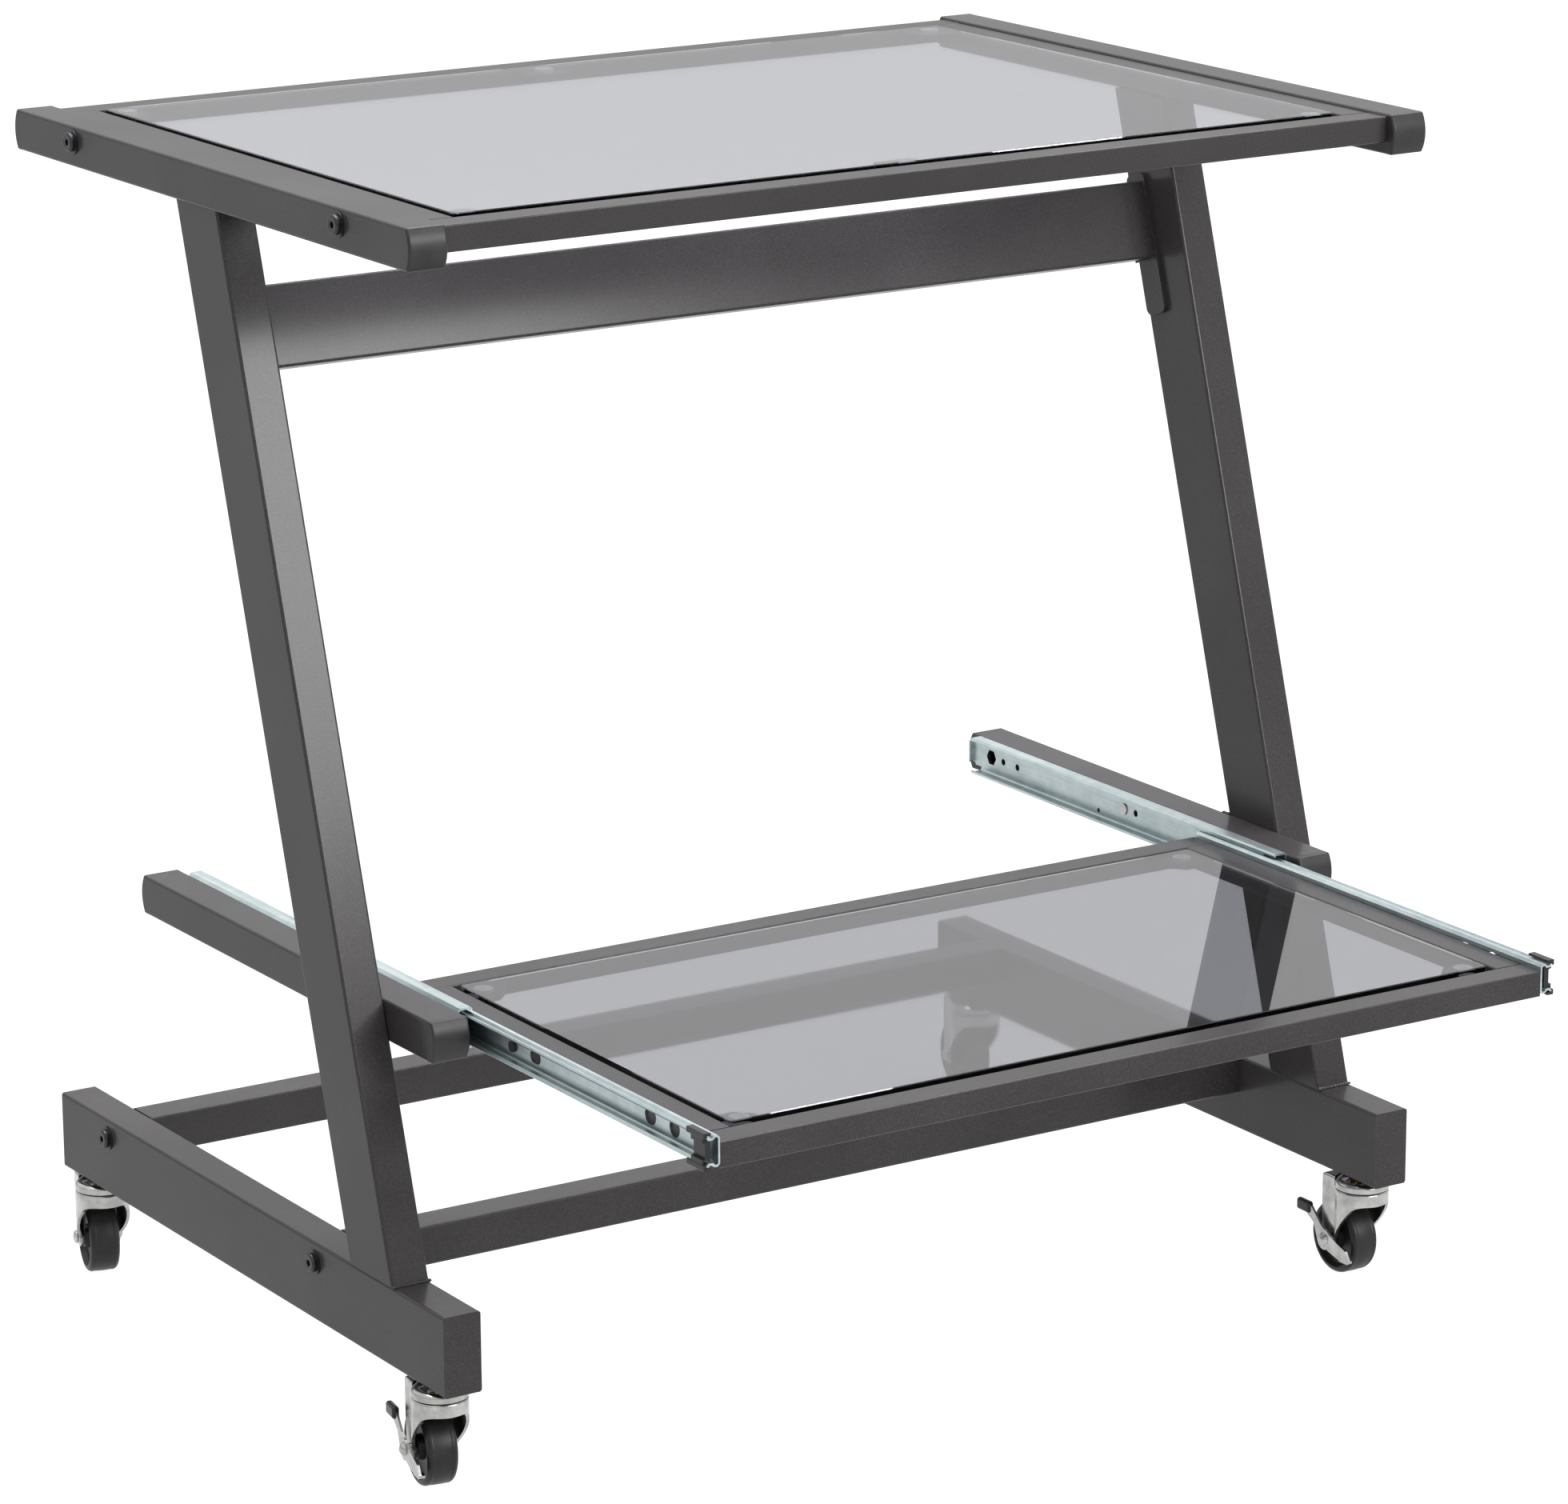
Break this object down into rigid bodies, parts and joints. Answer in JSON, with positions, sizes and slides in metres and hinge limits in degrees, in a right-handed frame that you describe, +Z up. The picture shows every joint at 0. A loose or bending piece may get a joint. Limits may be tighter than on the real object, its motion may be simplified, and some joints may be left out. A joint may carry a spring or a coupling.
{
  "type": "computer desk with keyboard tray",
  "caption": "Mobile computer desk with leaning steel legs, a recessed smoked-glass top, a low pull-out glass keyboard tray and swivel casters",
  "frame": {"origin": "on the floor under the middle of the whole desk, tray pulled out", "axes": "+Z up; +Y towards the back, away from the user; +X towards the user's right when facing the desk"},
  "size_m": [0.7188, 0.7179, 0.7575],
  "materials": {
    "frame_paint": "graphite powder coat with a fine metallic grain, satin",
    "smoked_glass": "clear tempered glass with a light smoke tint, polished",
    "clear_pad": "translucent soft bumper",
    "black_plastic": "moulded black, satin",
    "bolt_black": "black oxide, satin",
    "slide_zinc": "bright zinc plate",
    "zinc_steel": "bright zinc plate",
    "black_wheel": "hard black tread, satin"
  },
  "bodies": {
    "frame": {"left_top_rail": "frame_paint", "right_top_rail": "frame_paint", "left_leg": "frame_paint", "right_leg": "frame_paint", "left_slide_rail": "frame_paint", "right_slide_rail": "frame_paint", "left_foot_rail": "frame_paint", "right_foot_rail": "frame_paint", "rail_end_caps": "black_plastic", "foot_rail_end_plates": "frame_paint", "apron": "frame_paint", "apron_end_plates": "frame_paint", "front_cross_tube": "frame_paint", "rear_cross_tube": "frame_paint", "frame_bolts": "bolt_black", "frame_nuts": "zinc_steel", "top_front_tube": "frame_paint", "top_rear_tube": "frame_paint", "top_left_tube": "frame_paint", "top_right_tube": "frame_paint", "top_support_tabs": "frame_paint", "top_glass_pads": "clear_pad", "top_glass": "smoked_glass", "left_outer_slide": "slide_zinc", "right_outer_slide": "slide_zinc", "outer_slide_screws": "zinc_steel", "front_left_swivel_race": "zinc_steel", "front_right_swivel_race": "zinc_steel", "rear_left_swivel_race": "zinc_steel", "rear_right_swivel_race": "zinc_steel"},
    "tray": {"tray_front_tube": "frame_paint", "tray_rear_tube": "frame_paint", "tray_left_tube": "frame_paint", "tray_right_tube": "frame_paint", "tray_support_tabs": "frame_paint", "tray_glass_pads": "clear_pad", "tray_glass": "smoked_glass", "left_inner_slide": "slide_zinc", "right_inner_slide": "slide_zinc", "inner_slide_screws": "zinc_steel", "tray_end_stops": "black_plastic"},
    "left_cage": {"left_ball_cage": "slide_zinc"},
    "right_cage": {"right_ball_cage": "slide_zinc"},
    "front_left_swivel": {"front_left_fork": "zinc_steel", "front_left_axle": "zinc_steel"},
    "front_left_roller": {"front_left_wheel": "black_wheel"},
    "front_left_brake": {"front_left_brake_lever": "zinc_steel", "front_left_lever_grip": "black_plastic"},
    "front_right_swivel": {"front_right_fork": "zinc_steel", "front_right_axle": "zinc_steel"},
    "front_right_roller": {"front_right_wheel": "black_wheel"},
    "front_right_brake": {"front_right_brake_lever": "zinc_steel", "front_right_lever_grip": "black_plastic"},
    "rear_left_swivel": {"rear_left_fork": "zinc_steel", "rear_left_axle": "zinc_steel"},
    "rear_left_roller": {"rear_left_wheel": "black_wheel"},
    "rear_right_swivel": {"rear_right_fork": "zinc_steel", "rear_right_axle": "zinc_steel"},
    "rear_right_roller": {"rear_right_wheel": "black_wheel"}
  },
  "joints": [
    {"name": "tray_slide", "type": "slide", "parent": "frame", "child": "tray", "axis": [0, -1, 0], "range_m": [-0.27, 0]},
    {"name": "left_cage_slide", "type": "slide", "parent": "frame", "child": "left_cage", "axis": [0, -1, 0], "range_m": [-0.135, 0]},
    {"name": "right_cage_slide", "type": "slide", "parent": "frame", "child": "right_cage", "axis": [0, -1, 0], "range_m": [-0.135, 0]},
    {"name": "front_left_swivel_turn", "type": "hinge", "parent": "frame", "child": "front_left_swivel", "pos_m": [-0.3395, -0.123, 0.07], "axis": [0, 0, 1], "continuous": true},
    {"name": "front_left_wheel_spin", "type": "hinge", "parent": "front_left_swivel", "child": "front_left_roller", "pos_m": [-0.33646, -0.10577, 0.0235], "axis": [0.9848, -0.1736, 0], "continuous": true},
    {"name": "front_left_brake_turn", "type": "hinge", "parent": "front_left_swivel", "child": "front_left_brake", "pos_m": [-0.33646, -0.10577, 0.0235], "axis": [0.9848, -0.1736, 0], "range_deg": [-15, 0]},
    {"name": "front_right_swivel_turn", "type": "hinge", "parent": "frame", "child": "front_right_swivel", "pos_m": [0.3395, -0.123, 0.07], "axis": [0, 0, 1], "continuous": true},
    {"name": "front_right_wheel_spin", "type": "hinge", "parent": "front_right_swivel", "child": "front_right_roller", "pos_m": [0.33981, -0.1055, 0.0235], "axis": [0.9998, -0.0175, 0], "continuous": true},
    {"name": "front_right_brake_turn", "type": "hinge", "parent": "front_right_swivel", "child": "front_right_brake", "pos_m": [0.33981, -0.1055, 0.0235], "axis": [0.9998, -0.0175, 0], "range_deg": [-15, 0]},
    {"name": "rear_left_swivel_turn", "type": "hinge", "parent": "frame", "child": "rear_left_swivel", "pos_m": [-0.3395, 0.32, 0.07], "axis": [0, 0, 1], "continuous": true},
    {"name": "rear_left_wheel_spin", "type": "hinge", "parent": "rear_left_swivel", "child": "rear_left_roller", "pos_m": [-0.33512, 0.33694, 0.0235], "axis": [0.9681, -0.2504, 0], "continuous": true},
    {"name": "rear_right_swivel_turn", "type": "hinge", "parent": "frame", "child": "rear_right_swivel", "pos_m": [0.3395, 0.32, 0.07], "axis": [0, 0, 1], "continuous": true},
    {"name": "rear_right_wheel_spin", "type": "hinge", "parent": "rear_right_swivel", "child": "rear_right_roller", "pos_m": [0.34254, 0.33723, 0.0235], "axis": [0.9848, -0.1736, 0], "continuous": true}
  ],
  "couplings": [
    {"joint": "left_cage_slide", "follows": "tray_slide", "ratio": 0.5},
    {"joint": "right_cage_slide", "follows": "tray_slide", "ratio": 0.5}
  ]
}
